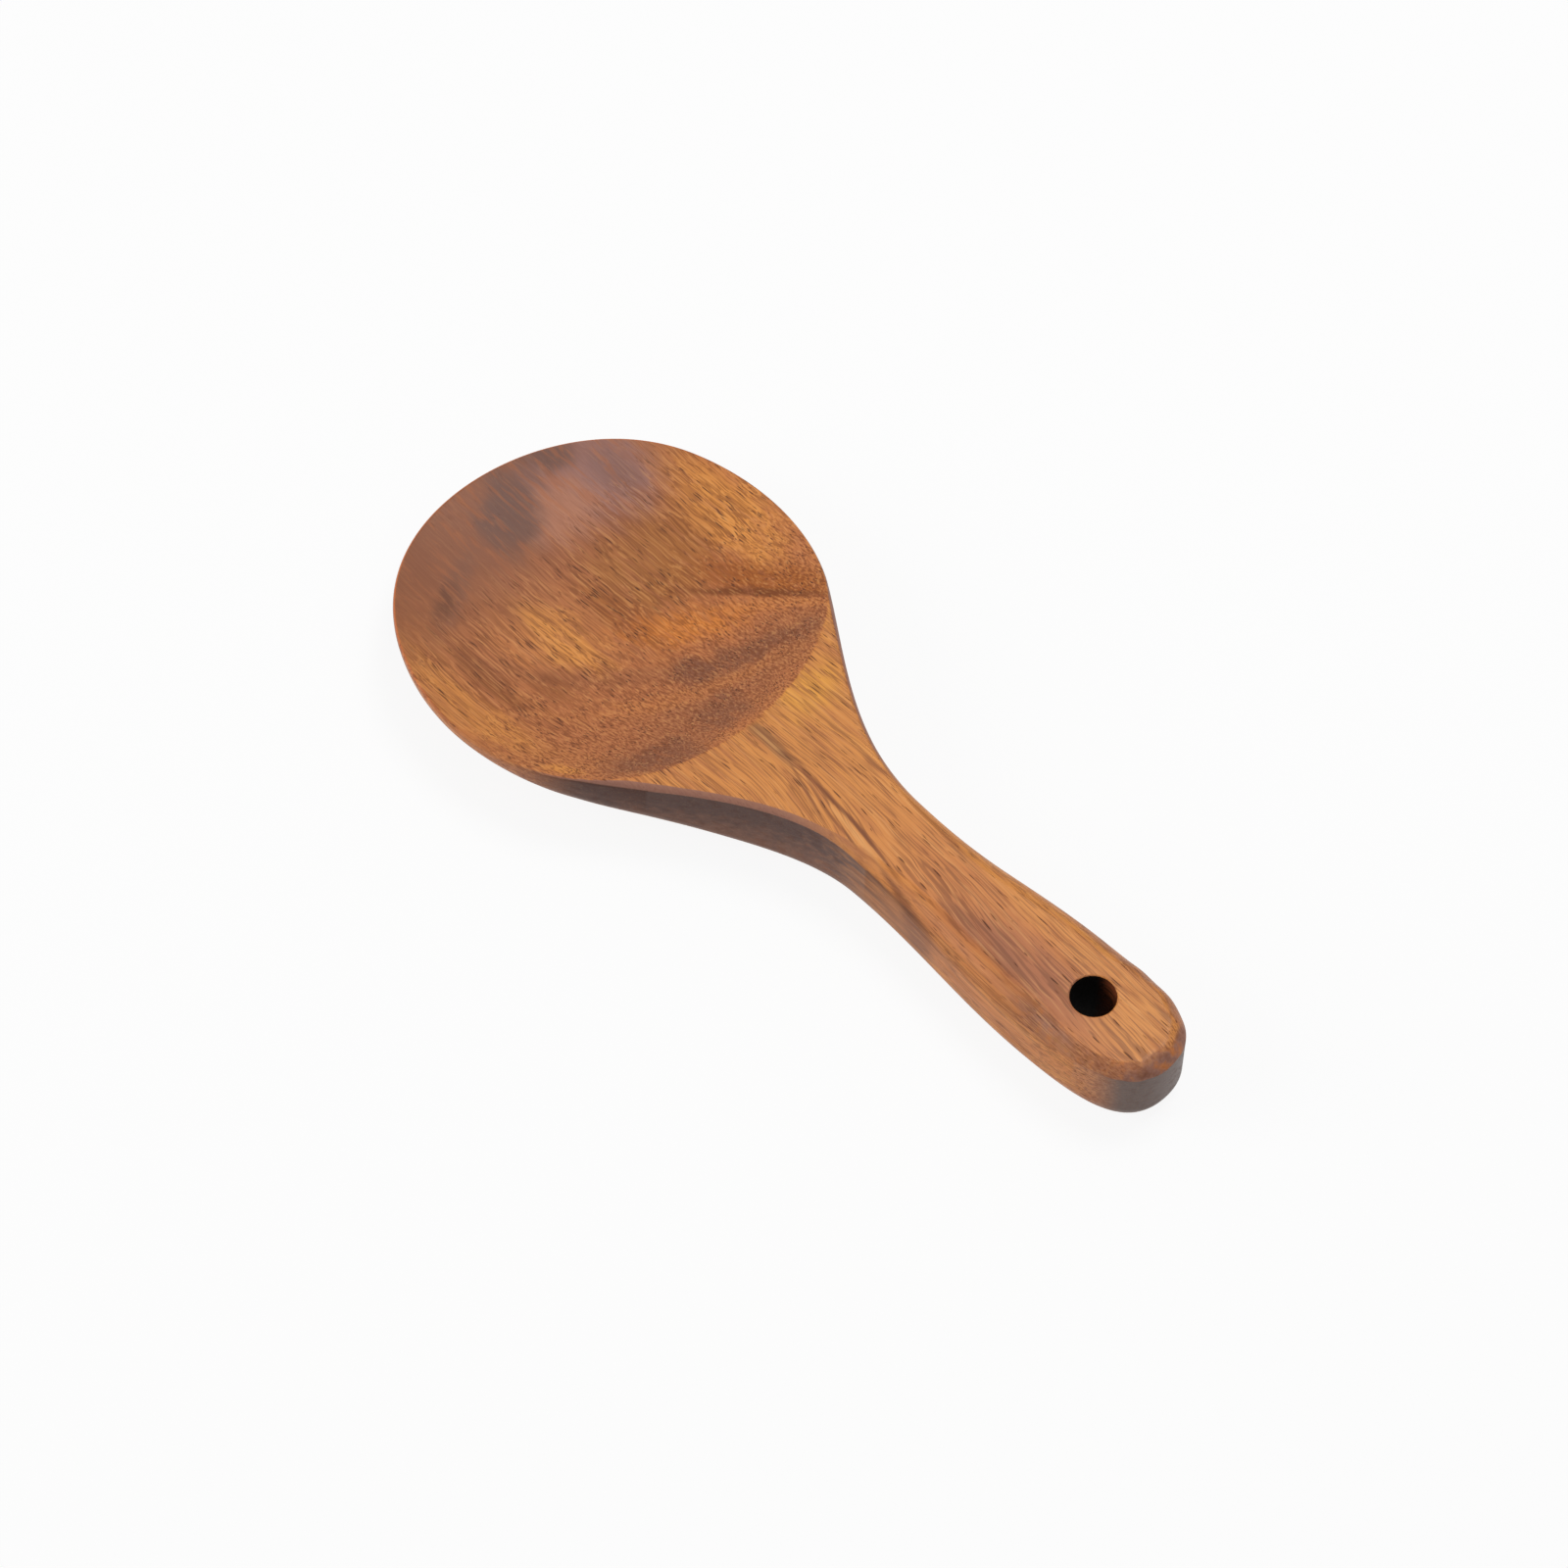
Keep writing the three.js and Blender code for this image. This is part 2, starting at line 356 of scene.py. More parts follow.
# Finish of the oiled wood and of the wall of the hole
WOOD_ROUGHNESS = 0.42
MOTTLE_ROUGHNESS = 0.1
PORE_ROUGHNESS = 0.2
WOOD_SPECULAR = 0.3
PORE_DEPTH = 0.05 * MM
BORE_ROUGHNESS = 0.7
FIBRE_ROUGHNESS = 0.2
BORE_SPECULAR = 0.05
# Where the painted light on the hole's wall sets in, in millimetres past the hole's middle
BORE_LIT = (1, 6)
FIBRE_TONE = (0.2, 0.7)

# Camera of the photograph: where it stands round the spoon, and the point that it looks at
CAMERA_AZIMUTH = math.radians(44.87)
CAMERA_ELEVATION = math.radians(56.25)
CAMERA_DISTANCE = 976 * MM
SENSOR_WIDTH = 36
CAMERA_LENS = 109.34
AIM_HEIGHT = 7.8 * MM
AIM_RIGHT = -2.81 * MM
AIM_UP = -0.7 * MM

# Soft lights, the even light of the room, and the table
KEY_PLACE = (0.0, 0.45, 1.0)
KEY_SIZE = 0.45
KEY_POWER = 5.5
FILL_PLACE = (-0.8, -0.9, 0.6)
FILL_SIZE = 0.8
FILL_POWER = 8
ROOM_LIGHT = 0.4
TABLE_HALF = 3.0
TABLE_COLOUR = (0.8, 0.8, 0.8, 1)
TABLE_WHITENESS = 0.9


# Shape of the spoon

def bezier(start, pull_start, pull_end, end, steps):
    """Points of one cubic curve, without its first point."""
    t = np.linspace(0, 1, steps + 1)[1:, None]
    points = [np.array(p) for p in (start, pull_start, pull_end, end)]
    shares = [(1 - t) ** 3, 3 * t * (1 - t) ** 2, 3 * t ** 2 * (1 - t), t ** 3]
    return sum(share * point for share, point in zip(shares, points))


def outline_side(count):
    """One side of the outline from tip to handle end, as evenly spaced points."""
    bowl_half = BOWL_WIDTH / 2
    neck_half = NECK_WIDTH / 2
    handle_half = HANDLE_WIDTH / 2
    turn = np.linspace(math.pi, SHOULDER_ANGLE, 2 * CURVE_STEPS)
    bowl = np.stack([BOWL_CENTRE + BOWL_CENTRE * np.cos(turn), bowl_half * np.sin(turn)], 1)
    shoulder = bowl[-1]
    leave = np.array([BOWL_CENTRE * math.sin(SHOULDER_ANGLE), -bowl_half * math.cos(SHOULDER_ANGLE)])
    leave /= np.linalg.norm(leave)
    shoulder_run = NECK_PLACE - SHOULDER_X
    handle_run = HANDLE_WIDEST - NECK_PLACE
    neck = bezier(
        shoulder,
        shoulder + leave * shoulder_run * SHOULDER_PULL,
        (NECK_PLACE - shoulder_run * NECK_PULL, neck_half),
        (NECK_PLACE, neck_half),
        CURVE_STEPS,
    )
    handle = bezier(
        (NECK_PLACE, neck_half),
        (NECK_PLACE + handle_run * HANDLE_PULL, neck_half),
        (HANDLE_WIDEST - handle_run * HANDLE_PULL, handle_half),
        (HANDLE_WIDEST, handle_half),
        CURVE_STEPS,
    )
    end = bezier(
        (HANDLE_WIDEST, handle_half),
        (HANDLE_WIDEST + HANDLE_END_LENGTH * END_FULLNESS, handle_half),
        (SPOON_LENGTH, handle_half * END_FULLNESS),
        (SPOON_LENGTH, 0),
        CURVE_STEPS,
    )
    line = np.concatenate([bowl, neck, handle, end])
    travelled = np.concatenate([[0], np.cumsum(np.linalg.norm(np.diff(line, axis=0), axis=1))])
    wanted = np.linspace(0, travelled[-1], count)
    return np.stack([np.interp(wanted, travelled, line[:, i]) for i in (0, 1)], 1)


def closed_outline():
    """The whole outline: out along +Y from the tip, and back along -Y."""
    side = outline_side(OUTLINE_STEPS // 2 + 1)
    other = side[-2:0:-1] * np.array([1, -1])
    return np.concatenate([side, other])


def smooth_step(value, low, high):
    share = np.clip((value - low) / (high - low), 0, 1)
    return share * share * (3 - 2 * share)


def smooth_least(a, b, softness):
    """The lesser of two heights, with the crease between them eased."""
    share = np.clip(0.5 + 0.5 * (b - a) / softness, 0, 1)
    return b + (a - b) * share - softness * share * (1 - share)


def spine_place(x):
    """Place on the centre line that the edge at x is rounded towards."""
    share = np.clip((x - SHOULDER_X) / (NECK_PLACE - SHOULDER_X), 0, 1)
    along_bowl = BOWL_CENTRE + (NECK_PLACE - BOWL_CENTRE) * share
    return np.where(x > NECK_PLACE, np.minimum(x, HANDLE_WIDEST), along_bowl)


def hollow_height(x, y):
    """Height of the hollow's surface, which runs on upwards beyond its own edge."""
    along = (x - HOLLOW_CENTRE) / HOLLOW_HALF_LENGTH
    across = y / HOLLOW_HALF_WIDTH
    share = np.hypot(along, across)
    edge_x = HOLLOW_CENTRE + HOLLOW_HALF_LENGTH * along / np.maximum(share, LEAST_SHARE)
    fall = np.clip(1 - edge_x / TIP_DROP_LENGTH, 0, None)
    edge = BOARD_THICKNESS - TIP_DROP * fall ** 2
    return HOLLOW_FLOOR + (edge - HOLLOW_FLOOR) * share ** HOLLOW_POWER


def crease_share(edge, spine):
    """How far out from the centre line each ray of the surface crosses the hollow's edge."""
    scale = np.array([HOLLOW_HALF_LENGTH, HOLLOW_HALF_WIDTH])
    start = (spine - np.array([HOLLOW_CENTRE, 0])) / scale
    run = (edge - spine) / scale
    a = (run ** 2).sum(1)
    b = (start * run).sum(1)
    c = (start ** 2).sum(1) - 1
    root = np.sqrt(np.maximum(b * b - a * c, 0))
    crossing = np.where(c < 0, (root - b) / a, 0)
    beyond = smooth_step(spine[:, 0], HOLLOW_END, NECK_PLACE)
    crossing = np.maximum(crossing, NECK_CREASE_SHARE * beyond)
    return np.clip(crossing, LEAST_CREASE_SHARE, GREATEST_CREASE_SHARE)


def upper_edge(x, y):
    """Reach of the rounding over the upper edge, and the turn at which it meets the wall.

    Along the handle it runs over into the wall. At the neck and the handle's end it is smaller and meets the
    wall in a line, and at the end it is a little uneven.
    """
    to_neck = smooth_step(x, SHOULDER_X, BOWL_LENGTH)
    to_grip = smooth_step(x, NECK_PLACE - GRIP_ROUND_BEFORE_NECK, NECK_PLACE + GRIP_ROUND_PAST_NECK)
    to_end = smooth_step(x, SPOON_LENGTH - END_ROUND_START, SPOON_LENGTH - END_ROUND_FULL)
    reach = RIM_ROUND + (NECK_ROUND - RIM_ROUND) * to_neck
    reach = reach + (GRIP_ROUND - NECK_ROUND) * to_grip + (END_ROUND - GRIP_ROUND) * to_end
    arris = to_neck * (1 - to_grip) + to_end
    waves = np.sin((x + y) / SHORT_WAVE) + np.sin((x - WAVE_SLANT * y) / LONG_WAVE)
    reach = reach * (1 + EDGE_WOBBLE * to_end * waves)
    return reach, FULL_TURN + (ARRIS_TURN - FULL_TURN) * arris


def ring(edge, spine, inward, height, carved):
    """One ring of points, drawn in from the outline by a share of the way to the centre line."""
    flat = edge + (spine - edge) * inward[:, None]
    if carved:
        height = smooth_least(height, hollow_height(flat[:, 0], flat[:, 1]), CREASE_SOFTNESS)
    return np.column_stack([flat, height])


def top_rings(edge, spine, top, flat_end):
    """The hollow and the level wood, from the centre line out to where the rounding begins."""
    crease = np.minimum(crease_share(edge, spine), GREATEST_CREASE_SHARE * flat_end)
    hollow_steps = np.linspace(0, 1, HOLLOW_RINGS, endpoint=False)[:, None]
    shelf_steps = np.linspace(0, 1, SHELF_RINGS, endpoint=False)[:, None]
    inner = crease * (1 - (1 - hollow_steps) ** RING_CROWDING)
    outer = crease + (flat_end - crease) * shelf_steps ** RING_CROWDING
    rings = []
    for share in np.concatenate([inner, outer]):
        height = BOARD_THICKNESS + (top - BOARD_THICKNESS) * share / flat_end
        rings.append(ring(edge, spine, 1 - share, height, True))
    return rings


def edge_rings(edge, spine, half_span, top, run, meets):
    """The rounding over the upper edge, down to the wall."""
    rings = []
    for share in np.linspace(0, 1, ROUND_RINGS):
        turn = START_TURN + (meets - START_TURN) * share
        inset = run * (np.sin(meets) - np.sin(turn))
        height = top - run * (math.cos(START_TURN) - np.cos(turn))
        rings.append(ring(edge, spine, inset / half_span, height, True))
    return rings


def under_rings(edge, spine, half_span, wall_top):
    """The underside, in from the foot of the wall: a low dome under the bowl, a rounded edge at the grip."""
    grip = smooth_step(edge[:, 0], BOWL_LENGTH, NECK_PLACE)
    dome = 1 - smooth_step(edge[:, 0], BOWL_CENTRE, NECK_PLACE)
    lower_round = RIM_ROUND + (GRIP_ROUND - RIM_ROUND) * grip
    under_reach = GRIP_ROUND + (half_span - FOOT_RADIUS - GRIP_ROUND) * dome
    under_reach = np.minimum(under_reach, half_span * GREATEST_ROUND_SHARE)
    under_rise = lower_round + (wall_top - lower_round - RIM_WALL) * dome
    fullness = 1 + (BELLY_POWER - 1) * dome
    rings = []
    for turn in np.linspace(0, math.pi / 2, BELLY_RINGS):
        inset = under_reach * (1 - max(0, math.cos(turn)) ** fullness)
        height = under_rise * (1 - math.sin(turn))
        rings.append(ring(edge, spine, inset / half_span, height, False))
    return rings


def surface_rings():
    """Rings of points from the middle of the top, over the edge, to the middle of the underside."""
    edge = closed_outline()
    spine = np.stack([spine_place(edge[:, 0]), np.zeros(len(edge))], 1)
    half_span = np.linalg.norm(edge - spine, axis=1)
    top = np.minimum(BOARD_THICKNESS, hollow_height(edge[:, 0], edge[:, 1]) + LIP_RISE)
    reach, meets = upper_edge(edge[:, 0], edge[:, 1])
    run = reach / (np.sin(meets) - math.sin(START_TURN))
    drop = run * (math.cos(START_TURN) - np.cos(meets))
    rings = top_rings(edge, spine, top, 1 - reach / half_span)
    rings += edge_rings(edge, spine, half_span, top, run, meets)
    rings += under_rings(edge, spine, half_span, top - drop)
    rings.append(np.column_stack([spine, np.zeros(len(spine))]))
    return rings


def blank_mesh():
    """The carved spoon before its hole is drilled, as one closed mesh."""
    rings = surface_rings()
    count = OUTLINE_STEPS
    points = np.concatenate(rings) - np.array([SPOON_LENGTH / 2, 0, 0])
    faces = []
    for r in range(len(rings) - 1):
        for i in range(count):
            j = (i + 1) % count
            faces.append((r * count + i, (r + 1) * count + i, (r + 1) * count + j, r * count + j))
    mesh = bpy.data.meshes.new("spoon_wood")
    mesh.from_pydata(points.tolist(), [], faces)
    return mesh


def close_mesh(mesh):
    """Welds the points that meet on the centre line and drops the faces that they close."""
    form = bmesh.new()
    form.from_mesh(mesh)
    bmesh.ops.remove_doubles(form, verts=form.verts, dist=WELD_DISTANCE)
    bmesh.ops.dissolve_degenerate(form, edges=form.edges, dist=LEAST_EDGE)
    bmesh.ops.recalc_face_normals(form, faces=form.faces)
    form.to_mesh(mesh)
    form.free()


def add_object(name, data):
    thing = bpy.data.objects.new(name, data)
    bpy.context.scene.collection.objects.link(thing)
    return thing


def hole_cutter():
    """Solid of the hanging hole, with both mouths eased."""
    radius = HOLE_DIAMETER / 2
    turns = np.linspace(0, HOLE_EASE_TURN, EASE_STEPS)
    ease_out = radius + HOLE_EASE * (1 - np.cos(turns))
    ease_up = BOARD_THICKNESS - HOLE_EASE + HOLE_EASE * np.sin(turns)
    upper = list(zip(ease_out, ease_up)) + [(ease_out[-1] + HOLE_EASE, BOARD_THICKNESS + HOLE_EASE)]
    profile = [(r, BOARD_THICKNESS - z) for r, z in reversed(upper)] + upper
    points = []
    for r, z in profile:
        for i in range(HOLE_STEPS):
            turn = 2 * math.pi * i / HOLE_STEPS
            points.append((HOLE_PLACE + r * math.cos(turn), r * math.sin(turn), z))
    faces = [tuple(range(HOLE_STEPS - 1, -1, -1))]
    for k in range(len(profile) - 1):
        for i in range(HOLE_STEPS):
            j = (i + 1) % HOLE_STEPS
            low, high = k * HOLE_STEPS, (k + 1) * HOLE_STEPS
            faces.append((low + i, low + j, high + j, high + i))
    last = (len(profile) - 1) * HOLE_STEPS
    faces.append(tuple(range(last, last + HOLE_STEPS)))
    mesh = bpy.data.meshes.new("hole_cutter")
    mesh.from_pydata(points, [], faces)
    return mesh


def drill(spoon, cutter):
    """Cuts the hole through the spoon and removes the tool."""
    cut = spoon.modifiers.new("hanging_hole", "BOOLEAN")
    cut.operation = "DIFFERENCE"
    cut.solver = "MANIFOLD"
    cut.object = cutter
    graph = bpy.context.evaluated_depsgraph_get()
    drilled = bpy.data.meshes.new_from_object(spoon.evaluated_get(graph))
    spoon.modifiers.remove(cut)
    spoon.data = drilled
    bpy.data.objects.remove(cutter)


def make_spoon():
    mesh = blank_mesh()
    close_mesh(mesh)
    spoon = add_object("carved_spoon", mesh)
    drill(spoon, add_object("hole_cutter", hole_cutter()))
    spoon.data.shade_smooth()
    spoon.data.set_sharp_from_angle(angle=SHARP_ANGLE)
    return spoon


# Shader helpers

def add(tree, kind, **settings):
    node = tree.nodes.new(kind)
    for name, value in settings.items():
        setattr(node, name, value)
    return node


def feed(tree, socket, value):
    """Links an output to the socket, or sets a plain value on it."""
    if isinstance(value, bpy.types.NodeSocket):
        tree.links.new(value, socket)
    else:
        socket.default_value = value


def calc(tree, operation, *values):
    node = add(tree, "ShaderNodeMath", operation=operation)
    for socket, value in zip(node.inputs, values):
        feed(tree, socket, value)
    return node.outputs[0]


def times(tree, first, *others):
    """Product of several values."""
    for other in others:
        first = calc(tree, "MULTIPLY", first, other)
    return first


def vector_calc(tree, operation, *values):
    node = add(tree, "ShaderNodeVectorMath", operation=operation)
    for socket, value in zip(node.inputs, values):
        feed(tree, socket, value)
    return node.outputs[0]


def dot(tree, first, second):
    node = add(tree, "ShaderNodeVectorMath", operation="DOT_PRODUCT")
    feed(tree, node.inputs[0], first)
    feed(tree, node.inputs[1], second)
    return node.outputs["Value"]


def parts(tree, vector):
    """The three numbers of a vector."""
    split = add(tree, "ShaderNodeSeparateXYZ")
    feed(tree, split.inputs[0], vector)
    return split.outputs


def joined(tree, x, y, z):
    """A vector of three numbers."""
    join = add(tree, "ShaderNodeCombineXYZ")
    for socket, value in zip(join.inputs, (x, y, z)):
        feed(tree, socket, value)
    return join.outputs[0]


def scaled(tree, vector, factor):
    node = add(tree, "ShaderNodeVectorMath", operation="SCALE")
    feed(tree, node.inputs["Vector"], vector)
    feed(tree, node.inputs["Scale"], factor)
    return node.outputs[0]


def ease(tree, value, low, high):
    """Smooth rise from 0 at low to 1 at high."""
    node = add(tree, "ShaderNodeMapRange", interpolation_type="SMOOTHSTEP")
    feed(tree, node.inputs["Value"], value)
    feed(tree, node.inputs["From Min"], low)
    feed(tree, node.inputs["From Max"], high)
    return node.outputs["Result"]


def noise(tree, vector, cell, detail=2.0, roughness=0.5):
    """Smooth random tone and colour in cells of the given size."""
    node = add(tree, "ShaderNodeTexNoise")
    feed(tree, node.inputs["Vector"], vector_calc(tree, "DIVIDE", vector, cell))
    feed(tree, node.inputs["Scale"], 1.0)
    feed(tree, node.inputs["Detail"], detail)
    feed(tree, node.inputs["Roughness"], roughness)
    return node.outputs


def about_zero(tree, vector, cell, detail):
    """Smooth random vector, about zero."""
    tone = noise(tree, vector, cell, detail)["Color"]
    return vector_calc(tree, "SUBTRACT", tone, (0.5, 0.5, 0.5))


def linear(colour):
    """A colour of 0 to 255 as the light that it stands for."""
    shares = [c / 255 for c in colour]
    return [s / 12.92 if s <= 0.04045 else ((s + 0.055) / 1.055) ** 2.4 for s in shares] + [1.0]


def blend(tree, share, below, above):
    node = add(tree, "ShaderNodeMix", data_type="RGBA")
    feed(tree, node.inputs[0], share)
    feed(tree, node.inputs[6], below)
    feed(tree, node.inputs[7], above)
    return node.outputs[2]


def palette(tree, tone, colours):
    """Blends through the colours as the tone rises."""
    ramp = add(tree, "ShaderNodeValToRGB")
    feed(tree, ramp.inputs[0], tone)
    stops = ramp.color_ramp.elements
    while len(stops) < len(colours):
        stops.new(0.5)
    for i, colour in enumerate(colours):
        stops[i].position = PALETTE_START + PALETTE_RUN * i / (len(colours) - 1)
        stops[i].color = linear(colour)
    return ramp.outputs["Color"]


def add_sockets(group, direction, kinds):
    """Gives a node group its named inputs or outputs."""
    for name, kind in kinds.items():
        group.interface.new_socket(name, in_out=direction, socket_type="NodeSocket" + kind)


def use_group(tree, group, values, label=""):
    node = add(tree, "ShaderNodeGroup", node_tree=group, label=label)
    for name, value in values.items():
        feed(tree, node.inputs[name], value)
    return node.outputs


# Wood

def place_on_spoon(tree):
    """Place on the spoon in millimetres."""
    return vector_calc(tree, "DIVIDE", add(tree, "ShaderNodeTexCoord").outputs["Object"], (MM, MM, MM))


def surface_normal(tree):
    return add(tree, "ShaderNodeNewGeometry").outputs["Normal"]


def grain_group():
    """Carries a place on the spoon over into one that is laid along the flow of the grain."""
    group = bpy.data.node_groups.new("grain_flow", "ShaderNodeTree")
    add_sockets(group, "INPUT", {"Place": "Vector", "Wander": "Float"})
    add_sockets(group, "OUTPUT", {"Grain": "Vector"})
    inside = add(group, "NodeGroupInput").outputs
    place = inside["Place"]
    x, y, z = parts(group, place)
    past_neck = calc(group, "SMOOTH_MAX", calc(group, "ADD", x, -DRIFT_START), 0.0, DRIFT_EASE)
    across = calc(group, "MULTIPLY_ADD", past_neck, DRIFT, y)
    sweep = times(group, ease(group, y, *SWEEP_SIDE), ease(group, x, *SWEEP_ZONE))
    across = calc(group, "MULTIPLY_ADD", sweep, SWEEP, across)
    falling = calc(group, "SMOOTH_MIN", x, FALL_END, FALL_EASE)
    height = calc(group, "MULTIPLY_ADD", falling, -GRAIN_RISE, z)
    ripple = calc(group, "MULTIPLY_ADD", ease(group, x, *RIPPLE_ZONE), RIPPLE_GAIN, LEAST_RIPPLE)
    wandering = scaled(group, about_zero(group, place, WANDER_CELL, detail=2.0), inside["Wander"])
    rippling = scaled(group, about_zero(group, place, RIPPLE_CELL, detail=1.0), ripple)
    shift = vector_calc(group, "ADD", wandering, rippling)
    depth = calc(group, "MULTIPLY_ADD", ease(group, x, *DEPTH_ZONE), DEPTH_GAIN, LEAST_DEPTH)
    shares = joined(group, 0.0, 1.0, depth)
    flow = joined(group, x, across, height)
    out = add(group, "NodeGroupOutput")
    feed(group, out.inputs["Grain"], vector_calc(group, "MULTIPLY_ADD", shift, shares, flow))
    return group


def along_grain(tree, flow, place, wander):
    return use_group(tree, flow, {"Place": place, "Wander": wander})["Grain"]


def patch_group():
    """Soft oval or curved streak of figure, as a mask, at one place of the spoon."""
    group = bpy.data.node_groups.new("figure_patch", "ShaderNodeTree")
    add_sockets(group, "INPUT", {
        "Place": "Vector", "Ragged": "Vector", "Ragged Reach": "Float", "Centre": "Vector",
        "Half Size": "Vector", "Turn": "Float", "Bend": "Float",
    })
    add_sockets(group, "OUTPUT", {"Mask": "Float"})
    inside = add(group, "NodeGroupInput").outputs
    shift = scaled(group, inside["Ragged"], inside["Ragged Reach"])
    offset = vector_calc(group, "SUBTRACT", inside["Place"], inside["Centre"])
    turned = add(group, "ShaderNodeVectorRotate", rotation_type="Z_AXIS")
    feed(group, turned.inputs["Vector"], vector_calc(group, "ADD", offset, shift))
    feed(group, turned.inputs["Angle"], times(group, inside["Turn"], -1.0))
    along, across = parts(group, turned.outputs[0])[:2]
    bow = times(group, inside["Bend"], along, along)
    bent = joined(group, along, calc(group, "ADD", across, bow), 0.0)
    share = vector_calc(group, "DIVIDE", bent, inside["Half Size"])
    fall = times(group, calc(group, "POWER", dot(group, share, share), 2.0), -1.0)
    out = add(group, "NodeGroupOutput")
    feed(group, out.inputs["Mask"], calc(group, "EXPONENT", fall))
    return group


def patch(tree, group, label, place, ragged, centre, half_size, turn=0, bend=0):
    """Mask of one patch. The narrower it is, the less ragged are its edges."""
    values = {
        "Place": place,
        "Ragged": ragged,
        "Ragged Reach": min(RAGGED_SHARE * half_size[1], GREATEST_RAGGED),
        "Centre": (*centre, 0),
        "Half Size": (*half_size, 1),
        "Turn": math.radians(turn),
        "Bend": bend,
    }
    return use_group(tree, group, values, label)["Mask"]


def paint_figure(tree, group, colour, place, ragged, exposed):
    """Lays the patches of figure over the wood, each in its own colour."""
    near_top = ease(tree, parts(tree, place)[2], *FIGURE_HEIGHT)
    shown = {
        "both": near_top,
        "slope": times(tree, near_top, exposed),
        "level": times(tree, near_top, calc(tree, "SUBTRACT", 1.0, exposed)),
    }
    for name, shade, where, x, y, half_length, half_width, turn, bend, strength in FIGURE:
        mask = patch(tree, group, name, place, ragged, (x, y), (half_length, half_width), turn, bend)
        colour = blend(tree, times(tree, mask, shown[where], strength), colour, linear(shade))
    return colour


def crowded_dashes(tree, group, place, ragged):
    """Where the dashes of the bowl crowd together."""
    crowded = 0.0
    for name, x, y, half_length, half_width in DASHES:
        band = patch(tree, group, name, place, ragged, (x, y), (half_length, half_width))
        crowded = calc(tree, "MAXIMUM", crowded, band)
    return crowded


def growth_rings(tree, grain):
    """Broad bands of growth: layers that lean across the board, so the hollow cuts them in arcs."""
    x, y, z = parts(tree, grain)
    leaning = calc(tree, "MULTIPLY_ADD", y, RING_LEAN, z)
    return noise(tree, joined(tree, x, y, leaning), RING_CELL, detail=3.0, roughness=0.55)[0]


def streaks(tree, grain, cell):
    """Streaks along the grain, as a tone about one half: lines on a face, specks where it cuts across."""
    return noise(tree, grain, cell, detail=2.0, roughness=0.55)[0]


def vessels(tree, grain):
    """Thin long lines along the grain, broken here and there."""
    off_line = calc(tree, "ABSOLUTE", calc(tree, "SUBTRACT", streaks(tree, grain, STRAND_CELL), 0.5))
    unbroken = ease(tree, streaks(tree, grain, BREAK_CELL), *UNBROKEN_TONE)
    return times(tree, ease(tree, off_line, *VESSEL_TONE), unbroken)


def pores(tree, grain, size):
    """Dark pores that run along the grain: dashes on a face, dots where it cuts across."""
    cells = add(tree, "ShaderNodeTexVoronoi")
    feed(tree, cells.inputs["Vector"], vector_calc(tree, "DIVIDE", grain, PORE_CELL))
    feed(tree, cells.inputs["Scale"], 1.0)
    tint = add(tree, "ShaderNodeSeparateColor")
    feed(tree, tint.inputs[0], cells.outputs["Color"])
    share = times(tree, ease(tree, tint.outputs[0], *PORE_TINT), size)
    radius = calc(tree, "MULTIPLY_ADD", share, PORE_RADIUS, SMALLEST_RADIUS)
    depth = calc(tree, "SUBTRACT", 1.0, calc(tree, "DIVIDE", cells.outputs["Distance"], radius))
    return ease(tree, depth, *PORE_EDGE)


def leaning_out(tree, ahead, out_y, y):
    """How far the surface leans outwards, ahead or over the nearer side."""
    return calc(tree, "MAXIMUM", ahead, times(tree, out_y, calc(tree, "SIGN", y)))


def paint_rounding(tree, colour, place, tilted, neck, end):
    """Paints a grey sheen on the rounding at the neck, and wears it in patches along the grip and round the
    end, with the same painted grey sheen among the patches.
    """
    x = parts(tree, place)[0]
    # Painted reflection: grey sheen on the rounding at the neck
    painted_edge_sheen = times(tree, tilted, neck, ease(tree, x, *EDGE_SHEEN_ZONE), EDGE_SHEEN_STRENGTH)
    colour = blend(tree, painted_edge_sheen, colour, linear(EDGE_SHEEN_GREY))
    # Worn patches of plum and rust, with the painted grey sheen as one of their colours
    patchy = noise(tree, place, WORN_CELL, detail=2.0, roughness=0.6)[0]
    worn_and_sheen = palette(tree, patchy, (EDGE_PLUM, EDGE_SHEEN_GREY, EDGE_RUST))
    grip = times(tree, ease(tree, x, *WORN_ZONE), WORN_GRIP)
    worn = calc(tree, "MAXIMUM", times(tree, end, WORN_END), grip)
    return blend(tree, times(tree, tilted, worn), colour, worn_and_sheen)


def wall_colour_and_shade(tree, x, z, drawn):
    """Colour of the upright wall: dark above, from end grain and painted shade, warmer below, and a painted
    grey reflection at the handle's end.
    """
    low = calc(tree, "MULTIPLY_ADD", drawn, WALL_STREAKS, z)
    colour = blend(tree, ease(tree, low, *WALL_HEIGHT), linear(WALL_DARK), linear(WALL_WARM))
    return blend(tree, ease(tree, x, *WALL_REFLECTION_ZONE), colour, linear(WALL_REFLECTION_GREY))


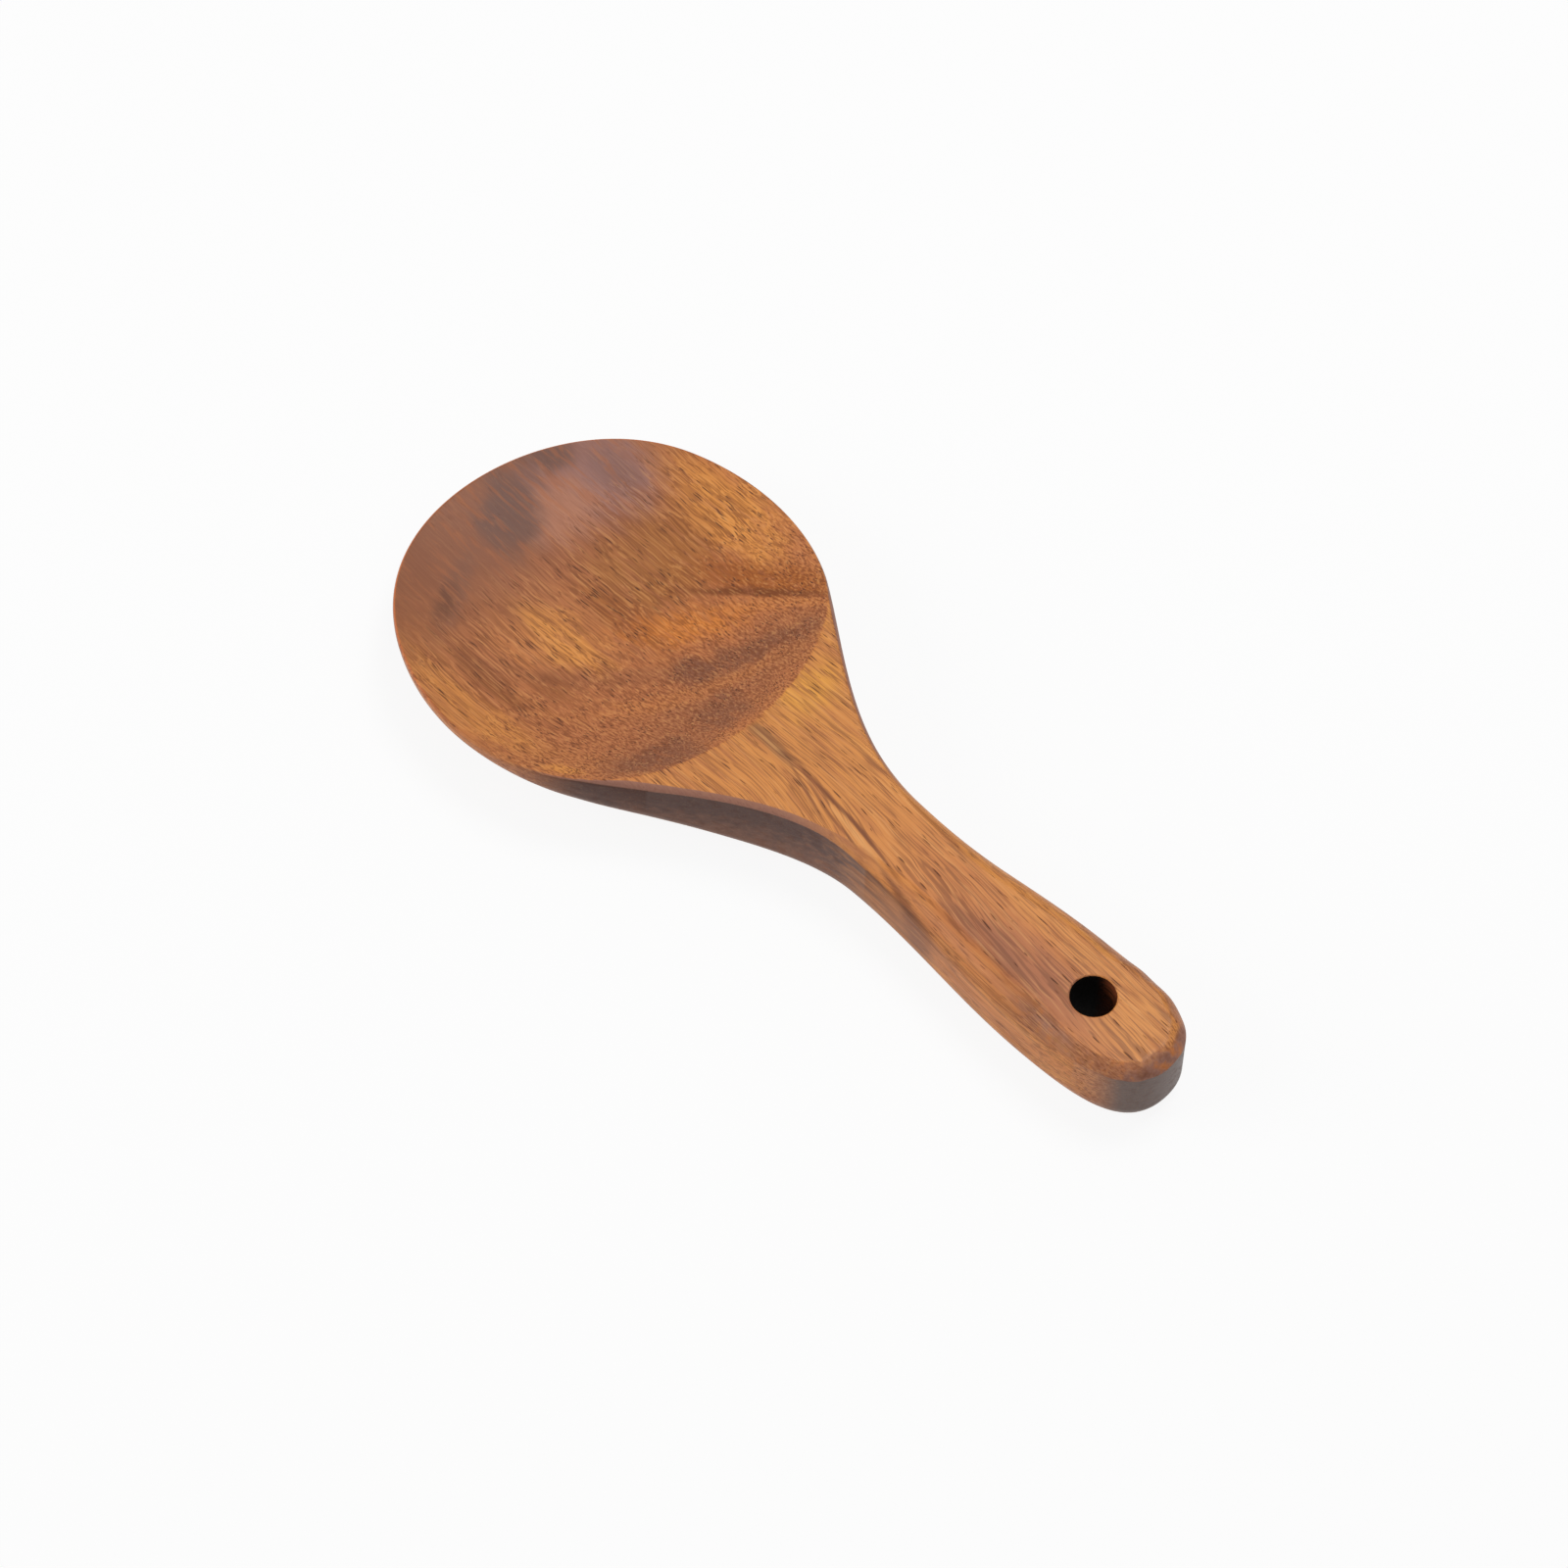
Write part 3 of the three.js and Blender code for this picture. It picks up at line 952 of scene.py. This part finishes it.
def paint_edges(tree, colour, place, grain):
    """Wears the edges, paints a grey sheen on the neck's rounding and a highlight on the tip's rim, and
    darkens the wall at the neck and the handle's end with end-grain colour and painted shade. Also returns
    where they are.
    """
    x, y, z = parts(tree, place)
    out_x, out_y, up = parts(tree, surface_normal(tree))
    drawn = calc(tree, "SUBTRACT", streaks(tree, grain, WALL_CELL), 0.5)
    ragged_x = calc(tree, "MULTIPLY_ADD", drawn, WALL_RAGGED, x)
    neck = times(tree, ease(tree, x, *WALL_START), ease(tree, ragged_x, *WALL_END))
    end = times(tree, ease(tree, x, *END_ZONE), ease(tree, out_x, *END_FACING))
    upper = ease(tree, up, *UPPER_FACING)
    outward = leaning_out(tree, out_x, out_y, y)
    held_back = calc(tree, "MULTIPLY_ADD", ease(tree, y, *FAR_SIDE), FAR_HOLD, outward)
    tilted = times(tree, ease(tree, held_back, *EDGE_FACING), upper)
    colour = paint_rounding(tree, colour, place, tilted, neck, end)
    tipward = leaning_out(tree, times(tree, out_x, -1.0), out_y, y)
    # Painted highlight along the rim at the bowl's tip
    rim_highlight = times(tree, ease(tree, tipward, *RIM_FACING), ease(tree, x, *RIM_ZONE), upper)
    colour = blend(tree, times(tree, rim_highlight, RIM_HIGHLIGHT_STRENGTH), colour, linear(RIM_HIGHLIGHT))
    # Painted shade: the near side's wall is darkened more than the far side's
    near = calc(tree, "MULTIPLY_ADD", ease(tree, y, *NEAR_SIDE), NEAR_WALL, LEAST_WALL)
    upright = ease(tree, calc(tree, "ABSOLUTE", up), *WALL_FACING)
    wall = times(tree, upright, calc(tree, "MAXIMUM", times(tree, neck, near), end))
    rounding = times(tree, tilted, calc(tree, "MAXIMUM", neck, end))
    colour = blend(tree, wall, colour, wall_colour_and_shade(tree, x, z, drawn))
    return colour, calc(tree, "MAXIMUM", wall, rounding)


def dark_lines(tree, grain, fine, crowd, straight, level):
    """Brown lines of the wood: specks in the bowl, thin lines on the straight wood, and long vessels."""
    thin = ease(tree, streaks(tree, grain, THIN_CELL), *THIN_TONE)
    drawn_thin = times(tree, thin, straight, THIN_LINES)
    broad = ease(tree, fine, *BROAD_TONE)
    specks = calc(tree, "MULTIPLY_ADD", broad, calc(tree, "SUBTRACT", 1.0, straight), drawn_thin)
    specks = times(tree, specks, calc(tree, "MULTIPLY_ADD", crowd, CROWDED_SPECKS, LEAST_SPECKS))
    return calc(tree, "MAXIMUM", specks, times(tree, vessels(tree, grain), level, VESSEL_LINES))


def pore_size(tree, crowd, exposed, straight):
    """Size of the pores: greater where they crowd, smaller on cut slopes and on the straight wood."""
    crowded = calc(tree, "MULTIPLY_ADD", crowd, CROWDED_PORE, LEAST_PORE)
    cut = calc(tree, "MULTIPLY_ADD", exposed, CUT_PORE, crowded)
    return times(tree, cut, calc(tree, "MULTIPLY_ADD", straight, STRAIGHT_PORE, 1.0))


def wood_layers(tree, flow):
    """Colour of the wood, its dark pores and its mottling, at every place of the spoon."""
    place = place_on_spoon(tree)
    x = parts(tree, place)[0]
    grain = along_grain(tree, flow, place, WOOD_WANDER)
    fine = streaks(tree, grain, FINE_CELL)
    cut = calc(tree, "ABSOLUTE", dot(tree, surface_normal(tree), (1.0, GRAIN_SKEW, GRAIN_RISE)))
    jagged = calc(tree, "MULTIPLY_ADD", calc(tree, "SUBTRACT", fine, 0.5), JAGGED, cut)
    exposed = ease(tree, jagged, *CUT_TONE)
    level = calc(tree, "SUBTRACT", 1.0, exposed)
    straight = times(tree, ease(tree, x, *STRAIGHT_ZONE), level)
    colour = palette(tree, growth_rings(tree, grain), (TAN, TAN, GOLD))
    colour = blend(tree, times(tree, exposed, CUT_RED), colour, linear(RED_TAN))
    group = patch_group()
    ragged = about_zero(tree, grain, RAGGED_CELL, detail=3.0)
    colour = paint_figure(tree, group, colour, place, ragged, exposed)
    mottle = ease(tree, streaks(tree, grain, MOTTLE_CELL), *MOTTLE_TONE)
    colour = blend(tree, times(tree, mottle, MOTTLE_RED), colour, linear(RED_TAN))
    colour, smooth = paint_edges(tree, colour, place, grain)
    marked = calc(tree, "MULTIPLY_ADD", smooth, -CALM_SMOOTH, 1.0)
    marked = times(tree, marked, calc(tree, "MULTIPLY_ADD", ease(tree, x, *CALM_ZONE), -CALM_TIP, 1.0))
    pale = times(tree, ease(tree, fine, *PALE_TONE), marked, PALE_FIBRES)
    colour = blend(tree, pale, colour, linear(PALE))
    crowd = calc(tree, "MAXIMUM", ease(tree, noise(tree, grain, CROWD_CELL)[0], *CROWD_TONE), exposed)
    crowd = calc(tree, "MAXIMUM", crowd, crowded_dashes(tree, group, place, ragged))
    lines = dark_lines(tree, grain, fine, crowd, straight, level)
    colour = blend(tree, times(tree, lines, marked), colour, linear(LINE_BROWN))
    dark = times(tree, pores(tree, grain, pore_size(tree, crowd, exposed, straight)), marked)
    colour = blend(tree, times(tree, dark, PORE_DARKNESS), colour, linear(PORE))
    return colour, dark, mottle


def wood_material(name):
    material = bpy.data.materials.new(name)
    material.use_nodes = True
    return material, material.node_tree, material.node_tree.nodes["Principled BSDF"]


def oiled_wood(flow):
    """Oiled wood, a little duller in the mottling and the pores, which are sunk into it."""
    material, tree, shader = wood_material("oiled_wood")
    colour, dark, mottle = wood_layers(tree, flow)
    feed(tree, shader.inputs["Base Color"], colour)
    rough = calc(tree, "MULTIPLY_ADD", mottle, MOTTLE_ROUGHNESS, WOOD_ROUGHNESS)
    feed(tree, shader.inputs["Roughness"], calc(tree, "MULTIPLY_ADD", dark, PORE_ROUGHNESS, rough))
    feed(tree, shader.inputs["Specular IOR Level"], WOOD_SPECULAR)
    bump = add(tree, "ShaderNodeBump", invert=True)
    feed(tree, bump.inputs["Strength"], 1.0)
    feed(tree, bump.inputs["Distance"], PORE_DEPTH)
    feed(tree, bump.inputs["Height"], dark)
    feed(tree, shader.inputs["Normal"], bump.outputs[0])
    return material


def bore_wood_painted_shade(flow):
    """Wall of the drilled hole, painted near black as shade and warmer on one side as painted light, with
    the grain still showing.
    """
    material, tree, shader = wood_material("bore_wood_painted_shade")
    place = place_on_spoon(tree)
    grain = along_grain(tree, flow, place, BORE_WANDER)
    fibres = noise(tree, grain, FIBRE_CELL, detail=3.0, roughness=0.6)[0]
    x, y = parts(tree, place)[:2]
    # Painted light on the side of the hole towards the handle's end and the far side; painted shade
    # elsewhere
    side = calc(tree, "ADD", calc(tree, "ADD", x, y), -HOLE_PLACE / MM)
    lit_side = times(tree, ease(tree, side, *BORE_LIT), ease(tree, fibres, *FIBRE_TONE))
    feed(tree, shader.inputs["Base Color"], blend(tree, lit_side, linear(BORE_SHADE), linear(BORE_LIT_WARM)))
    rough = calc(tree, "MULTIPLY_ADD", fibres, FIBRE_ROUGHNESS, BORE_ROUGHNESS)
    feed(tree, shader.inputs["Roughness"], rough)
    feed(tree, shader.inputs["Specular IOR Level"], BORE_SPECULAR)
    return material


def in_bore(face):
    """Whether a face of the spoon lies on the wall of the hanging hole."""
    across = face.center.xy - Vector((HOLE_PLACE, 0))
    return across.length < HOLE_DIAMETER / 2 + BORE_MARGIN


def finish_wood(spoon):
    spoon.data.materials.clear()
    flow = grain_group()
    spoon.data.materials.append(oiled_wood(flow))
    spoon.data.materials.append(bore_wood_painted_shade(flow))
    for face in spoon.data.polygons:
        face.material_index = 1 if in_bore(face) else 0


# Camera, light and table

def camera_axes():
    """Directions from the spoon to the camera, to the camera's right and up."""
    level = math.cos(CAMERA_ELEVATION)
    back = Vector((
        math.sin(CAMERA_AZIMUTH) * level,
        -math.cos(CAMERA_AZIMUTH) * level,
        math.sin(CAMERA_ELEVATION),
    ))
    right = Vector((math.cos(CAMERA_AZIMUTH), math.sin(CAMERA_AZIMUTH), 0))
    return back, right, back.cross(right)


def make_camera():
    back, right, up = camera_axes()
    data = bpy.data.cameras.new("camera")
    data.sensor_width = SENSOR_WIDTH
    data.lens = CAMERA_LENS
    camera = add_object("camera", data)
    aim = Vector((0, 0, AIM_HEIGHT)) + right * AIM_RIGHT + up * AIM_UP
    turn = Matrix((right, up, back)).transposed().to_4x4()
    camera.matrix_world = Matrix.Translation(aim + back * CAMERA_DISTANCE) @ turn
    bpy.context.scene.camera = camera


def softbox(name, place, size, power):
    """Square soft light that faces the spoon."""
    data = bpy.data.lights.new(name, "AREA")
    data.shape = "SQUARE"
    data.size = size
    data.energy = power
    lamp = add_object(name, data)
    place = Vector(place)
    lamp.matrix_world = Matrix.Translation(place) @ place.to_track_quat("Z", "Y").to_matrix().to_4x4()


def make_light():
    softbox("key_light", KEY_PLACE, KEY_SIZE, KEY_POWER)
    softbox("fill_light", FILL_PLACE, FILL_SIZE, FILL_POWER)
    world = bpy.data.worlds.new("room")
    bpy.context.scene.world = world
    world.use_nodes = True
    room = world.node_tree.nodes["Background"].inputs
    room["Color"].default_value = (1, 1, 1, 1)
    room["Strength"].default_value = ROOM_LIGHT


def white_table():
    """White to the eye and in reflections, with a soft shadow left in it."""
    material = bpy.data.materials.new("white_table")
    material.use_nodes = True
    tree = material.node_tree
    tree.nodes.clear()
    path = add(tree, "ShaderNodeLightPath").outputs
    seen = calc(tree, "MAXIMUM", path["Is Camera Ray"], path["Is Glossy Ray"])
    seen = calc(tree, "MAXIMUM", seen, path["Is Transmission Ray"])
    paint = add(tree, "ShaderNodeBsdfDiffuse")
    paint.inputs["Color"].default_value = TABLE_COLOUR
    glow = add(tree, "ShaderNodeEmission")
    mixed = add(tree, "ShaderNodeMixShader")
    feed(tree, mixed.inputs[0], times(tree, seen, TABLE_WHITENESS))
    feed(tree, mixed.inputs[1], paint.outputs[0])
    feed(tree, mixed.inputs[2], glow.outputs[0])
    out = add(tree, "ShaderNodeOutputMaterial")
    feed(tree, out.inputs["Surface"], mixed.outputs[0])
    return material


def make_table():
    half = TABLE_HALF
    corners = [(-half, -half, 0), (half, -half, 0), (half, half, 0), (-half, half, 0)]
    mesh = bpy.data.meshes.new("table")
    mesh.from_pydata(corners, [], [(0, 1, 2, 3)])
    mesh.materials.append(white_table())
    add_object("table", mesh)


make_camera()
make_light()
make_table()
spoon = make_spoon()
finish_wood(spoon)
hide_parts("spoon")
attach(spoon, "root")

bpy.context.scene.view_settings.view_transform = "Standard"
